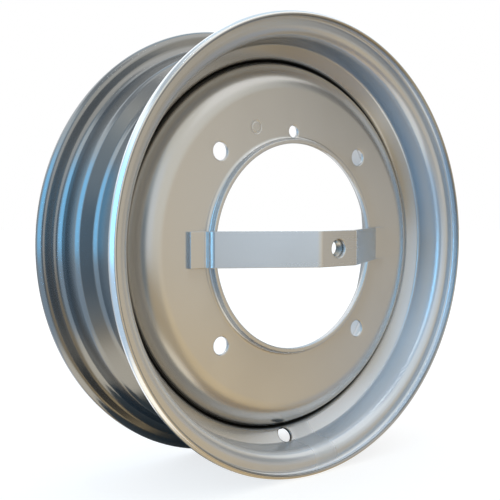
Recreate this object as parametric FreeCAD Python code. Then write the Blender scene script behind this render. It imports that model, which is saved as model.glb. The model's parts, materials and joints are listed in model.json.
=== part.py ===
import FreeCAD, Part
import math
import os

# Pressed-steel car wheel: a rolled drop-centre rim, a dished disc welded into its well, and a
# bar that bridges the disc's centre bore and carries the nut for a hub cap's centre screw.
# The wheel spins about Y. The origin is the centre of the face that meets the hub, +Y points
# inboard, towards the car, and +Z is up. Sizes are in millimetres and angles in degrees.

# Rim, with its diameters and radii measured on the tyre side
rim_sheet = 2.7
bead_seat_diameter = 304.0
rim_width = 89.0
rim_offset = 27.0
flange_height = 14.5
flange_foot_radius = 6.5
curl_radius = 5.1
curl_past_top = 40.0
curl_edge = 1.5
bead_seat_length = 21.0
bead_seat_taper = 5.0
seat_edge_radius = 6.0
well_depth = 12.8
well_slope = 54.0
well_corner_radius = 5.3
valve_hole_diameter = 11.5

# Disc
disc_sheet = 3.0
bore_diameter = 150.0
lip_height = 5.2
lip_bend_radius = 3.0
rim_bend_radius = 22.0
skirt_length = 9.0
bolt_circle = 190.0
bolt_count = 4
bolt_hole_diameter = 12.6
dowel_circle = 168.0
dowel_hole_diameter = 8.8
hole_chamfer = 0.6

# Bridge bar across the bore
bar_width = 25.0
bar_thickness = 3.0
bar_span = 190.0
bridge_rise = 47.0
bridge_top_length = 34.0
lip_clearance = 0.4
joggle_margin = 1.1
joggle_lean = 1.0
joggle_foot_radius = 1.1
joggle_crown_radius = 7.0
top_bend_radius = 5.0
screw_hole_diameter = 13.0

# Weld nut behind the bridge's top
nut_across_flats = 19.0
nut_height = 6.0
nut_chamfer = 1.2
thread_bore_diameter = 10.2
thread_lead_in = 0.8

# Weld beads between the disc's skirt and the rim
weld_count = 8
weld_arc = 22.0
weld_length_on_rim = 4.0
weld_fullness = 0.62

# Softened sheared edges
rim_edge_radius = 1.2
disc_edge_radius = 0.6
bar_edge_radius = 0.5

AXLE = FreeCAD.Vector(0, 1, 0)
CENTRE = FreeCAD.Vector(0, 0, 0)
FULL_TURN = 360.0

# Places that several pieces share
seat_radius = bead_seat_diameter / 2
well_inner_radius = seat_radius - well_depth - rim_sheet
disc_front = -disc_sheet
lip_outer_radius = bore_diameter / 2 + disc_sheet
skirt_end = disc_front + rim_bend_radius + skirt_length
bridge_front = disc_front - bridge_rise
bridge_back = bridge_front + bar_thickness


def point(x, y):
    return FreeCAD.Vector(x, y, 0)


def heading(start, end):
    return (end - start).normalize()


def left_of(direction):
    return FreeCAD.Vector(-direction.y, direction.x, 0)


def add_line(edges, start, end):
    if start.distanceToPoint(end) > Part.Precision.confusion():
        edges.append(Part.makeLine(start, end))


# One side of a folded sheet: the mid-line moved sideways, with an arc at each fold.
# A fold is a corner of the mid-line with the mid-line's own bend radius.
def sheet_side(corners, shift, edge_radius):
    places = [place for place, bend in corners]
    runs = [heading(a, b) for a, b in zip(places, places[1:])]
    edges = []
    last = places[0] + runs[0] * edge_radius + left_of(runs[0]) * shift
    for k in range(1, len(places) - 1):
        bend = corners[k][1]
        turn = math.atan2(runs[k - 1].cross(runs[k]).z, runs[k - 1].dot(runs[k]))
        inner_side = math.copysign(1, turn)
        reach = bend * math.tan(abs(turn) / 2)
        arc_start = places[k] - runs[k - 1] * reach
        arc_end = places[k] + runs[k] * reach
        arc_centre = arc_start + left_of(runs[k - 1]) * (inner_side * bend)
        arc_middle = arc_centre + heading(arc_centre, places[k]) * (bend - inner_side * shift)
        arc_start = arc_start + left_of(runs[k - 1]) * shift
        arc_end = arc_end + left_of(runs[k]) * shift
        add_line(edges, last, arc_start)
        edges.append(Part.Arc(arc_start, arc_middle, arc_end).toShape())
        last = arc_end
    add_line(edges, last, places[-1] - runs[-1] * edge_radius + left_of(runs[-1]) * shift)
    return edges


# The sheared edge of a sheet, from one side to the other, with both corners rounded.
def sheet_end(tip, outward, half, edge_radius):
    across = left_of(outward)
    edges = []
    inset = half - edge_radius
    for side in (1, -1):
        on_side = tip - outward * edge_radius + across * (side * half)
        on_end = tip + across * (side * inset)
        round_centre = tip - outward * edge_radius + across * (side * inset)
        round_middle = round_centre + (outward + across * side).normalize() * edge_radius
        edges.append(Part.Arc(on_side, round_middle, on_end).toShape())
    add_line(edges, tip + across * inset, tip - across * inset)
    return edges


def folded_sheet_section(corners, sheet, edge_radius):
    half = sheet / 2
    first, second = corners[0][0], corners[1][0]
    before_last, final = corners[-2][0], corners[-1][0]
    edges = sheet_side(corners, half, edge_radius)
    edges += sheet_side(corners, -half, edge_radius)
    edges += sheet_end(first, heading(second, first), half, edge_radius)
    edges += sheet_end(final, heading(before_last, final), half, edge_radius)
    return Part.Face(Part.Wire(Part.__sortEdges__(edges)))


def spun(section, angle=FULL_TURN):
    return section.revolve(CENTRE, AXLE, angle)


# A drill along Y through a sheet, with a chamfer where it enters the front face.
def chamfered_drill(x, z, diameter, front, depth):
    radius = diameter / 2
    start = FreeCAD.Vector(x, front, z)
    hole = Part.makeCylinder(radius, depth, start, AXLE)
    mouth = Part.makeCone(radius + hole_chamfer, radius, hole_chamfer, start, AXLE)
    return hole.fuse(mouth)


# Mid-line of half the rim, from the flange's curled edge to the well,
# as radius and distance from the rim's middle plane.
def rim_half():
    half = rim_sheet / 2
    taper = math.tan(math.radians(bead_seat_taper))
    slope = math.tan(math.radians(well_slope))
    wall = rim_width / 2 + half
    curl_bend = curl_radius - half
    curl_centre = seat_radius + flange_height - curl_radius
    curl_turn = math.radians(90 + curl_past_top)
    past = math.radians(curl_past_top)
    curl_corner = curl_centre + curl_bend * math.tan(curl_turn / 2)
    edge_radius = curl_centre + curl_bend * math.cos(past) - curl_edge * math.sin(past)
    edge_place = wall + curl_bend + curl_bend * math.sin(past) + curl_edge * math.cos(past)
    seat_mid = seat_radius - half / math.cos(math.radians(bead_seat_taper))
    seat_end_place = rim_width / 2 - bead_seat_length
    seat_end_mid = seat_mid - taper * bead_seat_length
    well_mid = well_inner_radius + half
    well_place = seat_end_place - (seat_end_mid - well_mid) / slope
    return [
        (edge_radius, edge_place, 0),
        (curl_corner, wall, curl_bend),
        (seat_mid + taper * half, wall, flange_foot_radius + half),
        (seat_end_mid, seat_end_place, seat_edge_radius - half),
        (well_mid, well_place, well_corner_radius + half),
    ]


def make_rim():
    half = rim_half()
    outboard = [(point(radius, rim_offset - away), bend) for radius, away, bend in half]
    inboard = [(point(radius, rim_offset + away), bend) for radius, away, bend in reversed(half)]
    rim = spun(folded_sheet_section(outboard + inboard, rim_sheet, rim_edge_radius))
    return rim.cut(valve_drill(outboard[-2][0], outboard[-1][0]))


# The valve hole is square to the outboard slope of the well, at the bottom of the wheel.
def valve_drill(seat_end, well_corner):
    slope_middle = (seat_end + well_corner) * 0.5
    outward = left_of(heading(well_corner, seat_end))
    start = slope_middle - outward * valve_hole_diameter
    at_bottom = FreeCAD.Vector(0, start.y, -start.x)
    axis = FreeCAD.Vector(0, outward.y, -outward.x)
    return Part.makeCylinder(valve_hole_diameter / 2, 2 * valve_hole_diameter, at_bottom, axis)


def make_disc():
    half = disc_sheet / 2
    lip_mid = bore_diameter / 2 + half
    skirt_mid = well_inner_radius - half
    corners = [
        (point(lip_mid, disc_front - lip_height), 0),
        (point(lip_mid, disc_front + half), lip_bend_radius + half),
        (point(skirt_mid, disc_front + half), rim_bend_radius - half),
        (point(skirt_mid, skirt_end), 0),
    ]
    disc = spun(folded_sheet_section(corners, disc_sheet, disc_edge_radius))
    for k in range(bolt_count):
        angle = math.radians(FULL_TURN * (k + 0.5) / bolt_count)
        x = bolt_circle / 2 * math.cos(angle)
        z = bolt_circle / 2 * math.sin(angle)
        disc = disc.cut(chamfered_drill(x, z, bolt_hole_diameter, disc_front, disc_sheet))
    return disc.cut(chamfered_drill(0, dowel_circle / 2, dowel_hole_diameter, disc_front, disc_sheet))


# The bar lies flat on the disc at both ends, steps over the bore's lip, and ramps up to a
# flat top in front of the wheel's axis.
def make_bridge():
    half = bar_thickness / 2
    pad = disc_front - half
    joggle = lip_outer_radius + lip_clearance + half
    top = bridge_front + half
    right = [
        (bridge_top_length / 2, top, top_bend_radius + half),
        (joggle, disc_front - lip_height - joggle_margin, joggle_crown_radius - half),
        (joggle + joggle_lean, pad, joggle_foot_radius + half),
        (bar_span / 2, pad, 0),
    ]
    corners = [(point(-x, y), bend) for x, y, bend in reversed(right)]
    corners += [(point(x, y), bend) for x, y, bend in right]
    section = folded_sheet_section(corners, bar_thickness, bar_edge_radius)
    section.translate(FreeCAD.Vector(0, 0, -bar_width / 2))
    bar = section.extrude(FreeCAD.Vector(0, 0, bar_width))
    return bar.cut(chamfered_drill(0, 0, screw_hole_diameter, bridge_front, bar_thickness))


def make_nut():
    corner_radius = nut_across_flats / 2 / math.cos(math.radians(30))
    ring = []
    for k in range(7):
        angle = math.radians(60 * k)
        ring.append(FreeCAD.Vector(corner_radius * math.cos(angle), bridge_back,
                                   corner_radius * math.sin(angle)))
    prism = Part.Face(Part.makePolygon(ring)).extrude(AXLE * nut_height)
    straight = nut_height - nut_chamfer
    base = FreeCAD.Vector(0, bridge_back, 0)
    shoulder = FreeCAD.Vector(0, bridge_back + straight, 0)
    turned = Part.makeCylinder(corner_radius, straight, base, AXLE)
    crown = Part.makeCone(corner_radius, corner_radius - 2 * nut_chamfer, nut_chamfer, shoulder, AXLE)
    nut = prism.common(turned.fuse(crown))
    thread_radius = thread_bore_diameter / 2
    bore = Part.makeCylinder(thread_radius, nut_height, base, AXLE)
    mouth = Part.makeCone(thread_radius + thread_lead_in, thread_radius, thread_lead_in, base, AXLE)
    return nut.cut(bore).cut(mouth)


def make_weld_beads():
    corner = point(well_inner_radius, skirt_end)
    on_rim = point(well_inner_radius, skirt_end + weld_length_on_rim)
    on_skirt = point(well_inner_radius - disc_sheet, skirt_end)
    crown = point(well_inner_radius - weld_fullness * disc_sheet,
                  skirt_end + weld_fullness * weld_length_on_rim)
    outline = [Part.makeLine(on_skirt, corner), Part.makeLine(corner, on_rim),
               Part.Arc(on_rim, crown, on_skirt).toShape()]
    bead = spun(Part.Face(Part.Wire(outline)), weld_arc)
    beads = []
    for k in range(weld_count):
        copy = bead.copy()
        copy.rotate(CENTRE, AXLE, FULL_TURN * k / weld_count - weld_arc / 2)
        beads.append(copy)
    return Part.makeCompound(beads)


os.makedirs("parts", exist_ok=True)
pieces = {
    "rim": make_rim(),
    "wheel_disc": make_disc(),
    "hub_cap_bridge": make_bridge(),
    "bridge_weld_nut": make_nut(),
    "disc_weld_beads": make_weld_beads(),
}
for name, shape in pieces.items():
    shape.exportStep("parts/" + name + ".step")
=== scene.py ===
import json
from math import atan2, cos, degrees, pi, radians, sin, sqrt, tan

import bmesh
import bpy
from mathutils import Matrix, Vector


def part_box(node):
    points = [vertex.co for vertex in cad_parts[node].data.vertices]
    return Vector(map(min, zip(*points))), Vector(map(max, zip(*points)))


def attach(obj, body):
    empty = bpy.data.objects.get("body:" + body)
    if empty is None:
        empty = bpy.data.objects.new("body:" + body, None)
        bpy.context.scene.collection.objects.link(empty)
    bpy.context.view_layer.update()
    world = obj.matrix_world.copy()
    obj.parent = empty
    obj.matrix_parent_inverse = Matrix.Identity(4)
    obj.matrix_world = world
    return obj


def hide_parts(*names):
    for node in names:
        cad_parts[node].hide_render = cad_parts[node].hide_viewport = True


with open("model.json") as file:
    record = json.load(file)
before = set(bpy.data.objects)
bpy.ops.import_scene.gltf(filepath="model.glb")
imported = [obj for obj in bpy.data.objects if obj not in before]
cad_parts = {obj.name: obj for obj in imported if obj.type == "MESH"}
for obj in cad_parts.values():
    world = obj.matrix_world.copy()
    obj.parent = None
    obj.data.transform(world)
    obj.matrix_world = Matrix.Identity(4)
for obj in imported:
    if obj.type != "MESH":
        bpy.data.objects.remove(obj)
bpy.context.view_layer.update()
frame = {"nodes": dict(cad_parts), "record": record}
mounts = {mount["name"]: mount for mount in frame["record"]["mounts"]}
mm = 0.001
axle = Vector((0, 1, 0))
joinWithin = 1e-6    # points nearer than this become one
noLength = 1e-7    # a straight run shorter than this is left out
wheel = bpy.data.collections.new("wheel")    # what the lamps light
print("frame loaded:", ", ".join(sorted(frame["nodes"])))


# sheet metal and turned shapes

def vertsOf(geom):
    return [part for part in geom if isinstance(part, bmesh.types.BMVert)]


def allOf(bm):
    return bm.verts[:] + bm.edges[:] + bm.faces[:]


def foldedLine(bm, corners, stepAngle):
    # a mid-line through corners (x, y, bend radius): straight runs, and an arc at each corner
    places = [Vector((x, y, 0)) for x, y, bend in corners]
    tip = bmesh.ops.create_vert(bm, co=places[0])["vert"][0]
    for before, here, after, corner in zip(places, places[1:], places[2:], corners[1:]):
        bend = corner[2]
        inward = (here - before).normalized()
        onward = (after - here).normalized()
        turn = atan2(inward.cross(onward).z, inward.dot(onward))
        reach = bend * tan(abs(turn) / 2)
        side = 1 if turn > 0 else -1
        tip = pulledVert(bm, tip, here - inward * reach)
        centre = tip.co + Vector((-inward.y, inward.x, 0)) * bend * side
        steps = max(2, round(abs(degrees(turn)) / stepAngle))
        swept = bmesh.ops.spin(bm, geom=[tip], cent=centre, axis=(0, 0, 1), angle=turn, steps=steps)
        tip = vertsOf(swept["geom_last"])[0]
    pulledVert(bm, tip, places[-1])


def pulledVert(bm, vert, place):
    if (vert.co - place).length < noLength:
        return vert
    pulled = bmesh.ops.extrude_vert_indiv(bm, verts=[vert])["verts"][0]
    pulled.co = place
    return pulled


def spunRound(bm, steps, angle=2 * pi, step=(0, 0, 0)):
    closed = angle == 2 * pi and not any(step)
    bmesh.ops.spin(bm, geom=allOf(bm), cent=(0, 0, 0), axis=axle, dvec=step, angle=angle, steps=steps,
                   use_merge=closed)
    bmesh.ops.remove_doubles(bm, verts=bm.verts[:], dist=joinWithin)


def newPiece(name, bm, *finishes):
    bmesh.ops.recalc_face_normals(bm, faces=bm.faces[:])
    mesh = bpy.data.meshes.new(name)
    bm.to_mesh(mesh)
    bm.free()
    for finish in finishes:
        mesh.materials.append(finish)
    piece = bpy.data.objects.new(name, mesh)
    bpy.context.scene.collection.objects.link(piece)
    return piece


def settled(piece):
    # the modifiers' result becomes the mesh
    graph = bpy.context.evaluated_depsgraph_get()
    mesh = bpy.data.meshes.new_from_object(piece.evaluated_get(graph))
    piece.modifiers.clear()
    piece.data = mesh
    mesh.name = piece.name
    return piece


roundedFrom = radians(60)    # edges that turn by more than this are rounded


def thickened(piece, sheet, edgeRound, edgeSteps):
    wall = piece.modifiers.new("wall", "SOLIDIFY")
    wall.thickness = sheet
    wall.offset = 0
    wall.use_even_offset = True
    wall.material_offset = len(piece.data.materials) - 1    # the sheet's other side takes the last finish
    edge = piece.modifiers.new("edge", "BEVEL")
    edge.width = edgeRound
    edge.segments = edgeSteps
    edge.limit_method = "ANGLE"
    edge.angle_limit = roundedFrom
    return settled(piece)


drill = {"stepsRound": 64, "bendStep": 15, "mouthBend": 0.9}


def holeCutter(name, radius, depth, flare, place, axis):
    # a drill whose two mouths flare, so that the edges of the hole come out rounded
    half = depth / 2
    wide = radius + 2 * flare
    bend = flare * drill["mouthBend"]
    bm = bmesh.new()
    foldedLine(bm, [(0, -half - flare, 0), (wide, -half - flare, 0), (wide, -half - flare / 4, 0),
                    (radius, -half + flare, bend), (radius, half - flare, bend),
                    (wide, half + flare / 4, 0), (wide, half + flare, 0), (0, half + flare, 0)],
               drill["bendStep"])
    spunRound(bm, drill["stepsRound"])
    turned = axle.rotation_difference(Vector(axis)).to_matrix().to_4x4()
    bm.transform(Matrix.Translation(place) @ turned)
    return newPiece(name, bm)


def cutBy(piece, cutters, operation="DIFFERENCE"):
    for cutter in cutters:
        cut = piece.modifiers.new("cut", "BOOLEAN")
        cut.operation = operation
        cut.solver = "EXACT"
        cut.object = cutter
    settled(piece)
    for cutter in cutters:
        bpy.data.objects.remove(cutter)
    return piece


smoothing = {"sharpAngle": 40, "flatWeight": 80}


def shaded(piece, sharpAngle=smoothing["sharpAngle"]):
    # smooth faces, hard edges where the surface really turns, and flats that stay flat
    bm = bmesh.new()
    bm.from_mesh(piece.data)
    bmesh.ops.remove_doubles(bm, verts=bm.verts[:], dist=joinWithin)
    for face in bm.faces:
        face.smooth = True
    for edge in bm.edges:
        edge.smooth = len(edge.link_faces) == 2 and edge.calc_face_angle() < radians(sharpAngle)
    bm.to_mesh(piece.data)
    bm.free()
    weighted = piece.modifiers.new("flats", "WEIGHTED_NORMAL")
    weighted.keep_sharp = True
    weighted.weight = smoothing["flatWeight"]
    return settled(piece)


def fitted(piece, node):
    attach(piece, "root")
    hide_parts(node)
    wheel.objects.link(piece)
    print(piece.name, "has", len(piece.data.polygons), "faces")


# shader maths on sockets

class Wire:
    def __init__(self, tree, socket=None):
        self.tree = tree
        self.socket = socket

    def node(self, kind, settings=None, inputs=None, output=0):
        made = self.tree.nodes.new("ShaderNode" + kind)
        for name, value in (settings or {}).items():
            setattr(made, name, value)
        for name, value in (inputs or {}).items():
            if isinstance(value, Wire):
                self.tree.links.new(value.socket, made.inputs[name])
            else:
                made.inputs[name].default_value = value
        return Wire(self.tree, made.outputs[output])

    def parts(self):
        split = self.node("SeparateXYZ", None, {"Vector": self}).socket.node
        return [Wire(self.tree, socket) for socket in split.outputs]

    def maths(self, operation, *values):
        return self.node("Math", {"operation": operation}, dict(enumerate(values)))

    def __add__(self, other):
        return self.maths("ADD", self, other)

    def __sub__(self, other):
        return self.maths("SUBTRACT", self, other)

    def __rsub__(self, other):
        return self.maths("SUBTRACT", other, self)

    def __mul__(self, other):
        return self.maths("MULTIPLY", self, other)

    __radd__ = __add__
    __rmul__ = __mul__

    def within(self, low, high):
        # a soft step from 0 at low to 1 at high, and low may be the larger
        return self.node("MapRange", {"interpolation_type": "SMOOTHSTEP"},
                         {"Value": self, "From Min": low, "From Max": high})

    def blended(self, first, second):
        # the colour form of the node has its factor, colours and result at these places
        return self.node("Mix", {"data_type": "RGBA"}, {0: self, 6: first, 7: second}, 2)

    def noise(self, scale, detail):
        return self.node("TexNoise", None, {"Vector": self, "Scale": scale, "Detail": detail})


def newFinish(name):
    material = bpy.data.materials.new(name)
    material.use_nodes = True
    tree = material.node_tree
    shader = tree.nodes["Principled BSDF"]
    coords = Wire(tree).node("TexCoord", output="Object")
    return material, shader, coords


def feed(shader, socket, wire):
    wire.tree.links.new(wire.socket, shader.inputs[socket])


# silver paint

facePaint = {
    "silver": (0.585, 0.577, 0.56),
    "dusty": (0.515, 0.50, 0.475),
    "metallic": 0.88,
    "roughness": 0.25,
    "coat": 0.12,
}
# painted shade: the same silver set a step darker than the face's, for the light inside the rim
shadedInsidePaint = {
    "silver": (0.51, 0.507, 0.50),
    "dusty": (0.45, 0.443, 0.43),
    "metallic": 0.74,
    "roughness": 0.25,
    "coat": 0.12,
}
# painted shade: the same silver set much darker, standing for the shade on the rim's tyre side
shadedTyreSidePaint = {
    "silver": (0.30, 0.30, 0.298),
    "dusty": (0.26, 0.258, 0.252),
    "metallic": 0.97,
    "roughness": 0.22,
    "coat": 0.0,
}
spray = {
    "cloudScale": 9.0,
    "cloudDetail": 3.0,
    "cloudRange": (0.48, 0.72),
    "cloudDust": 0.45,
    "cloudRoughness": 0.08,
    "flakeScale": 1400.0,
    "flakeDetail": 1.0,
    "flakeRange": (0.3, 0.7),
    "flakeDust": 0.05,
    "flakeRoughness": 0.02,
    "peelScale": 420.0,
    "peelDetail": 2.0,
    "peelHeight": 0.002 * mm,
    "coatRoughness": 0.12,
    "reliefRoughness": 0.14,
    # painted shade: near black at the bottom of the groove between disc and rim
    "grooveShadeColour": (0.022, 0.020, 0.016),
    "grooveRoughness": 0.4,
    "edgeWhite": (0.92, 0.92, 0.92),
}


def silverPaint(name, tone, relief=None, shadedGroove=None, whitenedEdge=None):
    # sprayed silver: soft clouds in the colour, flake sparkle in the gloss, a fine orange peel
    material, shader, coords = newFinish(name)
    clouds = coords.noise(spray["cloudScale"], spray["cloudDetail"])
    flakes = coords.noise(spray["flakeScale"], spray["flakeDetail"])
    peel = coords.noise(spray["peelScale"], spray["peelDetail"])
    dusty = clouds.within(*spray["cloudRange"]) * spray["cloudDust"]
    dusty = dusty + flakes.within(*spray["flakeRange"]) * spray["flakeDust"]
    colour = dusty.blended((*tone["silver"], 1), (*tone["dusty"], 1))
    # the noises lie about 0.5, so half their sum comes off to keep the tone's own roughness
    smoothest = tone["roughness"] - (spray["cloudRoughness"] + spray["flakeRoughness"]) / 2
    roughness = clouds * spray["cloudRoughness"] + flakes * spray["flakeRoughness"] + smoothest
    height = peel * spray["peelHeight"]
    if relief:
        mask, extra = relief(coords)
        height = height + extra
        roughness = roughness + mask * spray["reliefRoughness"]
    if whitenedEdge:
        bright = ringMask(coords, whitenedEdge) * whitenedEdge["share"]
        colour = bright.blended(colour, (*spray["edgeWhite"], 1))
    if shadedGroove:
        # painted shade: the bottom of the groove goes near black
        grooveShade = ringMask(coords, shadedGroove)
        colour = grooveShade.blended(colour, (*spray["grooveShadeColour"], 1))
        roughness = roughness + grooveShade * spray["grooveRoughness"]
    bump = coords.node("Bump", None, {"Height": height, "Strength": 1.0, "Distance": 1.0})
    feed(shader, "Base Color", colour)
    feed(shader, "Roughness", roughness)
    feed(shader, "Normal", bump)
    shader.inputs["Metallic"].default_value = tone["metallic"]
    shader.inputs["Coat Weight"].default_value = tone["coat"]
    shader.inputs["Coat Roughness"].default_value = spray["coatRoughness"]
    return material


def fromAxle(coords):
    x, y, z = coords.parts()
    return coords.maths("SQRT", x * x + z * z)


def ringMask(coords, ring):
    # grows between two radii, and fades behind the ring's front
    x, y, z = coords.parts()
    return fromAxle(coords).within(ring["from"], ring["to"]) * y.within(ring["back"], ring["front"])


# rim

rimSize = {
    "sheet": 2.7 * mm,
    "seatRadius": 152.0 * mm,
    "width": 89.0 * mm,
    "flangeHeight": 14.5 * mm,
    "footRadius": 6.5 * mm,
    "curlRadius": 5.1 * mm,
    "curlPastTop": radians(40),
    "curlEdge": 1.5 * mm,
    "edgeRound": 1.2 * mm,
    "edgeSteps": 4,
    "seatLength": 21.0 * mm,
    "seatTaper": radians(5),
    "seatEdgeRadius": 6.0 * mm,
    "wellDepth": 12.8 * mm,
    "wellSlope": radians(54),
    "wellCornerRadius": 5.3 * mm,
    "stepsRound": 320,
    "bendStep": 8,
    "valveFlare": 0.5 * mm,
}


def rimHalf(size):
    # mid-line of half the rim, from the curled edge to the well: radius, distance from the middle, bend
    half = size["sheet"] / 2
    past = size["curlPastTop"]
    wall = size["width"] / 2 + half
    curlBend = size["curlRadius"] - half
    curlCentre = size["seatRadius"] + size["flangeHeight"] - size["curlRadius"]
    curlCorner = curlCentre + curlBend * tan((pi / 2 + past) / 2)
    seatMid = size["seatRadius"] - half / cos(size["seatTaper"])
    seatFall = tan(size["seatTaper"])
    seatEnd = seatMid - seatFall * size["seatLength"]
    seatEndPlace = size["width"] / 2 - size["seatLength"]
    wellMid = size["seatRadius"] - size["wellDepth"] - half
    wellPlace = seatEndPlace - (seatEnd - wellMid) / tan(size["wellSlope"])
    return [
        (curlCentre + curlBend * cos(past) - size["curlEdge"] * sin(past),
         wall + curlBend * (1 + sin(past)) + size["curlEdge"] * cos(past), 0),
        (curlCorner, wall, curlBend),
        (seatMid + seatFall * half, wall, size["footRadius"] + half),
        (seatEnd, seatEndPlace, size["seatEdgeRadius"] - half),
        (wellMid, wellPlace, size["wellCornerRadius"] + half),
    ]


def makeRim(size, inside, tyreSide):
    low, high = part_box("rim")
    middle = (low.y + high.y) / 2
    half = rimHalf(size)
    bm = bmesh.new()
    outboard = [(radius, middle - away, bend) for radius, away, bend in half]
    inboard = [(radius, middle + away, bend) for radius, away, bend in reversed(half)]
    foldedLine(bm, outboard + inboard, size["bendStep"])
    spunRound(bm, size["stepsRound"])
    hoop = newPiece("rolled_rim", bm, tyreSide, inside)
    rim = thickened(hoop, size["sheet"], size["edgeRound"], size["edgeSteps"])
    valve = mounts["valve_hole"]
    cutter = holeCutter("valve_drill", valve["dims"]["r_mm"] * mm, size["sheet"], size["valveFlare"],
                        Vector(valve["pos_m"]), valve["axis"])
    return shaded(cutBy(rim, [cutter]))


# the bottom of the groove in front, where the disc goes into the well, darkened as painted shade
rimGrooveShade = {"from": 138.4 * mm, "to": 137.0 * mm, "back": 24.0 * mm, "front": 20.0 * mm}

# the outboard flange's rolled edge, lightened to near white
rimEdge = {"from": 163.0 * mm, "to": 165.3 * mm, "back": 40.0 * mm, "front": 20.0 * mm, "share": 0.85}

rimSeam = {
    "angle": radians(6.5),
    "spread": radians(4.5),
    "core": 0.4,
    "grain": 520.0,
    "detail": 3.0,
    "height": 0.22 * mm,
}


def seamGrinding(coords):
    # the rolled hoop's butt weld, ground back beside the valve hole
    x, y, z = coords.parts()
    around = coords.maths("ARCTAN2", x, 0.0 - z)
    away = coords.maths("ABSOLUTE", around - rimSeam["angle"])
    mask = away.within(rimSeam["spread"], rimSeam["spread"] * rimSeam["core"])
    grain = coords.noise(rimSeam["grain"], rimSeam["detail"])
    return mask, mask * grain * rimSeam["height"]


# disc

discSize = {
    "sheet": 3.0 * mm,
    "lipHeight": 5.2 * mm,
    "lipBend": 3.0 * mm,
    "rimBend": 22.0 * mm,
    "skirtLength": 9.0 * mm,
    "edgeRound": 0.6 * mm,
    "edgeSteps": 3,
    "holeFlare": 0.5 * mm,
    "stepsRound": 320,
    "bendStep": 5,
}


def makeDisc(size, finish):
    half = size["sheet"] / 2
    front = -size["sheet"]
    lipMid = mounts["centre_bore"]["dims"]["r_mm"] * mm + half
    skirtMid = rimSize["seatRadius"] - rimSize["wellDepth"] - rimSize["sheet"] - half
    bm = bmesh.new()
    foldedLine(bm, [(lipMid, front - size["lipHeight"], 0), (lipMid, front + half, size["lipBend"] + half),
                    (skirtMid, front + half, size["rimBend"] - half),
                    (skirtMid, front + size["rimBend"] + size["skirtLength"], 0)], size["bendStep"])
    spunRound(bm, size["stepsRound"])
    pressing = newPiece("pressed_disc", bm, finish)
    disc = thickened(pressing, size["sheet"], size["edgeRound"], size["edgeSteps"])
    bolts = mounts["wheel_bolts"]["dims"]
    dowel = mounts["dowel_hole"]
    cutters = []
    for k in range(bolts["count"]):
        angle = 2 * pi * (k + 0.5) / bolts["count"]
        place = Vector((cos(angle), 0, sin(angle))) * bolts["pcd_mm"] / 2 * mm
        place.y = front + half
        cutters.append(holeCutter("bolt_drill", bolts["hole_r_mm"] * mm, size["sheet"], size["holeFlare"],
                                  place, axle))
    dowelPlace = Vector((dowel["pos_m"][0], front + half, dowel["pos_m"][2]))
    cutters.append(holeCutter("dowel_drill", dowel["dims"]["r_mm"] * mm, size["sheet"], size["holeFlare"],
                              dowelPlace, axle))
    return shaded(cutBy(disc, cutters))


# the disc's side of the groove, darkened as painted shade
discGrooveShade = {"from": 134.7 * mm, "to": 136.2 * mm, "back": 24.0 * mm, "front": 20.0 * mm}

stamp = {
    "x": -35.7 * mm,
    "z": 85.2 * mm,
    "radius": 4.2 * mm,
    "width": 1.0 * mm,
    "core": 0.3,
    "depth": 0.2 * mm,
    "back": -1.0 * mm,
    "front": -2.0 * mm,
}


def stampedRing(coords):
    # a plain ring pressed faintly into the disc's face
    x, y, z = coords.parts()
    x = x - stamp["x"]
    z = z - stamp["z"]
    far = coords.maths("SQRT", x * x + z * z)
    away = coords.maths("ABSOLUTE", far - stamp["radius"])
    mask = away.within(stamp["width"], stamp["width"] * stamp["core"])
    mask = mask * y.within(stamp["back"], stamp["front"])
    return mask, mask * -stamp["depth"]


# bridge bar and its nut

bridgeSize = {
    "width": 25.0 * mm,
    "thickness": 3.0 * mm,
    "span": 190.0 * mm,
    "rise": 47.0 * mm,
    "topLength": 34.0 * mm,
    "lipClearance": 0.4 * mm,
    "joggleMargin": 1.1 * mm,
    "joggleLean": 1.0 * mm,
    "joggleFoot": 1.1 * mm,
    "joggleCrown": 7.0 * mm,
    "topBend": 5.0 * mm,
    "edgeRound": 0.45 * mm,
    "edgeSteps": 3,
    "bendStep": 5,
    "holeRadius": 6.5 * mm,
    "holeFlare": 0.5 * mm,
}


def makeBridge(size, finish):
    half = size["thickness"] / 2
    discFront = -discSize["sheet"]
    lipOuter = mounts["centre_bore"]["dims"]["r_mm"] * mm + discSize["sheet"]
    joggle = lipOuter + size["lipClearance"] + half
    pad = discFront - half
    top = discFront - size["rise"] + half
    right = [
        (size["topLength"] / 2, top, size["topBend"] + half),
        (joggle, discFront - discSize["lipHeight"] - size["joggleMargin"], size["joggleCrown"] - half),
        (joggle + size["joggleLean"], pad, size["joggleFoot"] + half),
        (size["span"] / 2, pad, 0),
    ]
    bm = bmesh.new()
    foldedLine(bm, [(-x, y, bend) for x, y, bend in reversed(right)] + right, size["bendStep"])
    bmesh.ops.translate(bm, verts=bm.verts[:], vec=(0, 0, -size["width"] / 2))
    pulled = bmesh.ops.extrude_edge_only(bm, edges=bm.edges[:])["geom"]
    bmesh.ops.translate(bm, verts=vertsOf(pulled), vec=(0, 0, size["width"]))
    strip = newPiece("bent_bar", bm, finish)
    bar = thickened(strip, size["thickness"], size["edgeRound"], size["edgeSteps"])
    cutter = holeCutter("screw_drill", size["holeRadius"], size["thickness"], size["holeFlare"],
                        Vector((0, top, 0)), axle)
    return shaded(cutBy(bar, [cutter]))


barGrain = {
    "along": 12.0,
    "across": 800.0,
    "detail": 2.0,
    "range": (0.45, 0.75),
    "height": 0.0006 * mm,
    "share": 0.12,
}


def rolledGrain(coords):
    # faint lines along the flat stock
    along, across = barGrain["along"], barGrain["across"]
    stretched = coords.node("Mapping", None, {"Vector": coords, "Scale": (along, along, across)})
    lines = stretched.noise(1.0, barGrain["detail"])
    return lines.within(*barGrain["range"]) * barGrain["share"], lines * barGrain["height"]


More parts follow.
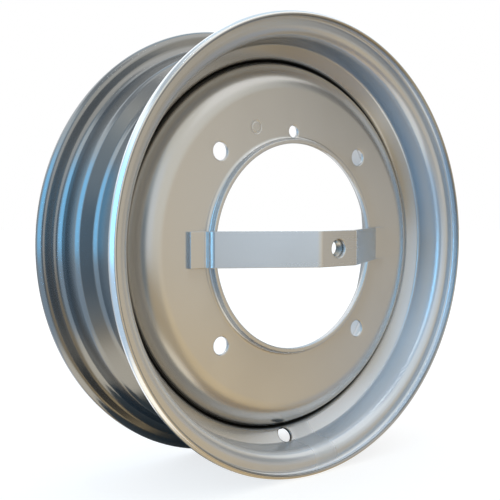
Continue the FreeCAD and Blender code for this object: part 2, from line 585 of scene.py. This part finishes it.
nutSize = {
    "acrossFlats": 19.0 * mm,
    "height": 6.0 * mm,
    "chamfer": 1.2 * mm,
    "crownMargin": 1.0 * mm,
    "stepsRound": 96,
    "bendStep": 10,
    "sharpAngle": 25,
    "threadDepth": 0.9 * mm,
    "pitch": 1.75 * mm,
    "threadSteps": 72,
    "turnsBefore": 3,
    "turnsPast": 2,
}


def makeNut(size, finish):
    low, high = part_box("bridge_weld_nut")
    corner = size["acrossFlats"] / 2 / cos(pi / 6)
    bm = bmesh.new()
    bmesh.ops.create_circle(bm, cap_ends=True, segments=6, radius=corner)
    bm.transform(Matrix.Rotation(pi / 2, 4, "X") @ Matrix.Rotation(pi / 6, 4, "Z"))
    bmesh.ops.translate(bm, verts=bm.verts[:], vec=(0, low.y, 0))
    pulled = bmesh.ops.extrude_face_region(bm, geom=bm.faces[:])["geom"]
    bmesh.ops.translate(bm, verts=vertsOf(pulled), vec=(0, size["height"], 0))
    nut = newPiece("weld_nut", bm, finish)
    margin = size["crownMargin"]
    crown = bmesh.new()
    foldedLine(crown, [(0, low.y - margin, 0), (corner + margin, low.y - margin, 0),
                       (corner + margin, high.y - size["chamfer"] + margin / 2, 0),
                       (corner - 2 * size["chamfer"], high.y, 0), (0, high.y, 0)], size["bendStep"])
    spunRound(crown, size["stepsRound"])
    cutBy(nut, [newPiece("nut_crown", crown)], "INTERSECT")
    return shaded(cutBy(nut, [threadTap(low.y, high.y, size)]), size["sharpAngle"])


def threadTap(start, end, size):
    # a tap's form: a zigzag that climbs one pitch in its turn, so that its rows join into a helix
    minor = mounts["bridge_thread"]["dims"]["r_mm"] * mm
    major = minor + size["threadDepth"]
    pitch = size["pitch"]
    steps = size["threadSteps"]
    rows = int((end - start) / pitch) + size["turnsBefore"] + size["turnsPast"]
    base = start - size["turnsBefore"] * pitch
    zigzag = []
    for k in range(rows):
        zigzag.append((minor, base + k * pitch, 0))
        zigzag.append((major, base + (k + 0.5) * pitch, 0))
    bm = bmesh.new()
    foldedLine(bm, zigzag, size["bendStep"])
    spunRound(bm, steps, step=(0, pitch / steps, 0))
    bmesh.ops.holes_fill(bm, edges=[edge for edge in bm.edges if edge.is_boundary], sides=0)
    return newPiece("thread_tap", bm)


# weld beads on the skirt's edge

beadSize = {
    "count": 8,
    "arc": radians(22),
    "onRim": 4.0 * mm,
    "bulge": 0.55 * mm,
    "steps": 84,
    "bendStep": 8,
    "ripples": 14,
    "rippleDepth": 0.17,
    "rippleSharpness": 3,
    "taper": 0.09,
    "endSwell": 0.12,
    "sharpAngle": 60,
}


def makeBeads(size, finish):
    outer = rimSize["seatRadius"] - rimSize["wellDepth"] - rimSize["sheet"]
    edge = -discSize["sheet"] + discSize["rimBend"] + discSize["skirtLength"]
    foot = Vector((outer, edge, 0))
    onRim = foot + Vector((0, size["onRim"], 0))
    onSkirt = foot - Vector((discSize["sheet"], 0, 0))
    chord = onRim - onSkirt
    crownRadius = ((chord.length / 2) ** 2 + size["bulge"] ** 2) / (2 * size["bulge"])
    lean = chord.length / 2 / sqrt(crownRadius ** 2 - (chord.length / 2) ** 2)
    crown = (onRim + onSkirt) / 2 + Vector((-chord.y, chord.x, 0)) / 2 * lean
    bm = bmesh.new()
    foldedLine(bm, [(foot.x, foot.y, 0), (onRim.x, onRim.y, 0), (crown.x, crown.y, crownRadius),
                    (onSkirt.x, onSkirt.y, 0), (foot.x, foot.y, 0)], size["bendStep"])
    bmesh.ops.remove_doubles(bm, verts=bm.verts[:], dist=joinWithin)
    spunRound(bm, size["steps"], size["arc"])
    bmesh.ops.holes_fill(bm, edges=[line for line in bm.edges if line.is_boundary], sides=0)
    for vert in bm.verts:
        along = atan2(-vert.co.z, vert.co.x) / size["arc"]    # 0 to 1 from end to end
        fromEnd = max(0.0, min(along, 1 - along)) / size["taper"]
        tapered = sqrt(min(1.0, size["endSwell"] + fromEnd * (2 - fromEnd))) if fromEnd < 1 else 1.0
        wave = abs(sin(pi * size["ripples"] * along)) ** size["rippleSharpness"]
        swell = min(1.0, tapered * (1 - size["rippleDepth"] * wave))
        radius = sqrt(vert.co.x ** 2 + vert.co.z ** 2)
        shrunk = (foot.x + (radius - foot.x) * swell) / radius
        vert.co.x *= shrunk
        vert.co.z *= shrunk
        vert.co.y = foot.y + (vert.co.y - foot.y) * swell
    bmesh.ops.rotate(bm, verts=bm.verts[:], cent=(0, 0, 0),
                     matrix=Matrix.Rotation(-size["arc"] / 2, 3, "Y"))
    copies = size["count"] - 1
    bmesh.ops.spin(bm, geom=allOf(bm), cent=(0, 0, 0), axis=axle,
                   angle=2 * pi * copies / size["count"], steps=copies, use_duplicate=True)
    return shaded(newPiece("fillet_welds", bm, finish), size["sharpAngle"])


# camera, floor and light

view = {
    "place": Vector((-428.5, -478.6, 31.1)) * mm,
    "toward": Vector((0.6302, 0.7746, -0.0532)),
    "lens": 62.5,
    "sensor": 36.0,
    "nearest": 0.01,
}


def setCamera():
    data = bpy.data.cameras.new("camera")
    data.lens = view["lens"]
    data.sensor_width = view["sensor"]
    data.clip_start = view["nearest"]
    camera = bpy.data.objects.new("camera", data)
    camera.location = view["place"]
    camera.rotation_euler = view["toward"].to_track_quat("-Z", "Y").to_euler()
    bpy.context.scene.collection.objects.link(camera)
    bpy.context.scene.camera = camera


paleFloor = {
    "middle": (0, 0),
    "across": 6.0,
    "deep": 6.0,
    "lift": 0.0,
    "stepsRound": 96,
    "colour": (0.36, 0.36, 0.36),
    "roughness": 0.9,
    "glow": 0.74,
}
shadedFloor = {
    "middle": (0, 52.0 * mm),
    "across": 140.0 * mm,
    "deep": 62.0 * mm,
    "lift": 0.5 * mm,
    "stepsRound": 64,
    "colour": (0.16, 0.15, 0.13),
    "roughness": 1.0,
    "glow": 0.0,
}


def floorCard(name, finishName, card):
    bm = bmesh.new()
    bmesh.ops.create_circle(bm, cap_ends=True, segments=card["stepsRound"], radius=1)
    bmesh.ops.scale(bm, verts=bm.verts[:], vec=(card["across"], card["deep"], 1))
    bmesh.ops.translate(bm, verts=bm.verts[:], vec=(*card["middle"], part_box("rim")[0].z + card["lift"]))
    material, shader, coords = newFinish(finishName)
    shader.inputs["Base Color"].default_value = (*card["colour"], 1)
    shader.inputs["Roughness"].default_value = card["roughness"]
    shader.inputs["Emission Color"].default_value = (1, 1, 1, 1)
    shader.inputs["Emission Strength"].default_value = card["glow"]
    return newPiece(name, bm, material)


def setFloor():
    # a white sweep under the wheel: it takes the soft shadow, and the paint mirrors the room instead
    floor = floorCard("floor", "pale_floor", paleFloor)
    floor.visible_glossy = False
    floor.visible_diffuse = False


def setShade():
    # painted shadow: a dark card standing for the floor in the wheel's shadow right under it, seen only
    # where the paint mirrors it
    shade = floorCard("floor_shade", "shaded_floor", shadedFloor)
    shade.visible_camera = False
    shade.visible_diffuse = False
    shade.visible_shadow = False


# broad soft lamps that only lift the matt part of the paint
lamps = {
    "left_lamp": {"place": (-1.0, -0.20, 0.05), "size": 0.6, "power": 34.0, "colour": (0.14, 0.50, 1.0)},
    "top_lamp": {"place": (-0.15, -0.20, 1.0), "size": 0.6, "power": 30.0, "colour": (0.90, 0.96, 1.0)},
    "low_lamp": {"place": (0.25, -0.45, -0.9), "size": 0.6, "power": 8.0, "colour": (1.0, 0.55, 0.12)},
}


def setLamps():
    for name, lamp in lamps.items():
        data = bpy.data.lights.new(name, "AREA")
        data.size = lamp["size"]
        data.energy = lamp["power"]
        data.color = lamp["colour"]
        light = bpy.data.objects.new(name, data)
        light.location = lamp["place"]
        light.rotation_euler = (-Vector(lamp["place"])).to_track_quat("-Z", "Y").to_euler()
        light.visible_glossy = False
        light.visible_camera = False
        light.light_linking.receiver_collection = wheel    # the floor stays white
        bpy.context.scene.collection.objects.link(light)


# the room that the paint mirrors: soft-edged panels, each laid over those before it
# bearings run from the front in degrees, left negative, and heights from the horizon
room = {
    "backdrop": (0.64, 0.80, 0.92),
    "pastTheWheel": (1.0, 1.0, 1.0),
    "edge": 5.0,
    "panels": {
        "frontWall": {"bearing": (-31, 90), "height": (-90, 90), "colour": (0.88, 0.86, 0.78)},
        "rightWall": {"bearing": (58, 90), "height": (-12, 30), "colour": (0.72, 0.62, 0.45)},
        "rightCorner": {"bearing": (90, 138), "height": (-12, 30), "colour": (0.66, 0.84, 1.12)},
        "frontLeft": {"bearing": (-33, -10), "height": (-12, 30), "colour": (0.88, 0.94, 0.99)},
        "facingWall": {"bearing": (24, 58), "height": (-10, 12), "colour": (0.77, 0.69, 0.56)},
        "farWall": {"bearing": (42, 62), "height": (-8, 8), "colour": (0.56, 0.51, 0.43)},
        "doorway": {"bearing": (44, 66), "height": (4, 30), "edge": 4, "colour": (0.08, 0.06, 0.04)},
        "window": {"bearing": (-122, -58), "height": (-10, 44), "edge": 14, "colour": (0.62, 1.56, 2.50)},
        "windowTop": {"bearing": (-162, -55), "height": (36, 60), "colour": (1.12, 1.22, 1.26)},
        "ceilingLeft": {"bearing": (-190, 5), "height": (56, 76), "colour": (0.40, 0.42, 0.43)},
        "ceilingRight": {"bearing": (5, 110), "height": (32, 80), "colour": (1.15, 1.13, 1.08)},
        "skylight": {"bearing": (-190, 190), "height": (78, 100), "colour": (1.05, 1.05, 1.02)},
        "ground": {"bearing": (-190, 190), "height": (-100, -8), "colour": (0.52, 0.41, 0.25)},
        "leftGround": {"bearing": (-150, 0), "height": (-74, -40), "colour": (1.30, 1.20, 1.00)},
        "windowOnGround": {"bearing": (-162, -52), "height": (-42, -8), "colour": (0.54, 0.67, 0.80)},
        "litGround": {"bearing": (12, 44), "height": (-40, -8), "colour": (0.90, 0.69, 0.38)},
        "rightGround": {"bearing": (46, 95), "height": (-30, -6), "colour": (0.46, 0.49, 0.53)},
        "shadedGround": {"bearing": (5, 70), "height": (-62, -38), "colour": (0.34, 0.25, 0.14)},
        "warmGround": {"bearing": (5, 95), "height": (-100, -62), "colour": (0.74, 0.52, 0.26)},
        "behindLeft": {"bearing": (-190, -154), "height": (-44, 50), "colour": (1.25, 1.27, 1.30)},
        "behindRight": {"bearing": (148, 190), "height": (-44, 50), "colour": (1.25, 1.27, 1.30)},
        "backWallLeft": {"bearing": (-190, -150), "height": (-22, 12), "colour": (0.50, 0.50, 0.49)},
        "backWallRight": {"bearing": (130, 190), "height": (-22, 12), "colour": (0.50, 0.50, 0.49)},
        "dimGap": {"bearing": (-50, -33), "height": (-34, 56), "colour": (0.30, 0.36, 0.40)},
        "darkGap": {"bearing": (-50, -33), "height": (-22, 16), "colour": (0.10, 0.15, 0.20)},
    },
}


def setRoom():
    world = bpy.data.worlds.new("room")
    bpy.context.scene.world = world
    world.use_nodes = True
    tree = world.node_tree
    toward = Wire(tree).node("TexCoord", output="Generated")
    x, y, z = toward.parts()
    bearing = toward.maths("ARCTAN2", x, 0.0 - y) * degrees(1)
    height = toward.maths("ARCSINE", z) * degrees(1)
    colour = (*room["backdrop"], 1)
    for panel in room["panels"].values():
        mask = 1.0
        soft = panel.get("edge", room["edge"])
        for angle, (low, high) in ((bearing, panel["bearing"]), (height, panel["height"])):
            mask = angle.within(low - soft, low + soft) * mask
            mask = angle.within(high + soft, high - soft) * mask
        colour = mask.blended(colour, (*panel["colour"], 1))
    seen = Wire(tree).node("LightPath", output="Is Camera Ray")
    backdrop = seen.blended(colour, (*room["pastTheWheel"], 1))
    tree.links.new(backdrop.socket, tree.nodes["Background"].inputs["Color"])


# everything in order

discPaint = silverPaint("disc_paint", facePaint, stampedRing, discGrooveShade)
shadedRimInside = silverPaint("rim_inside_shaded_paint", shadedInsidePaint, seamGrinding, rimGrooveShade)
shadedRimOutside = silverPaint("rim_tyre_side_shaded_paint", shadedTyreSidePaint, whitenedEdge=rimEdge)
barPaint = silverPaint("bar_paint", facePaint, rolledGrain)
steelPaint = silverPaint("nut_and_weld_paint", facePaint)
print("paints mixed")
fitted(makeRim(rimSize, shadedRimInside, shadedRimOutside), "rim")
fitted(makeDisc(discSize, discPaint), "wheel_disc")
fitted(makeBridge(bridgeSize, barPaint), "hub_cap_bridge")
fitted(makeNut(nutSize, steelPaint), "bridge_weld_nut")
fitted(makeBeads(beadSize, steelPaint), "disc_weld_beads")
setFloor()
setShade()
setLamps()
setRoom()
setCamera()
bpy.context.scene.view_settings.view_transform = "Standard"
print("floor, lamps, room and camera set")
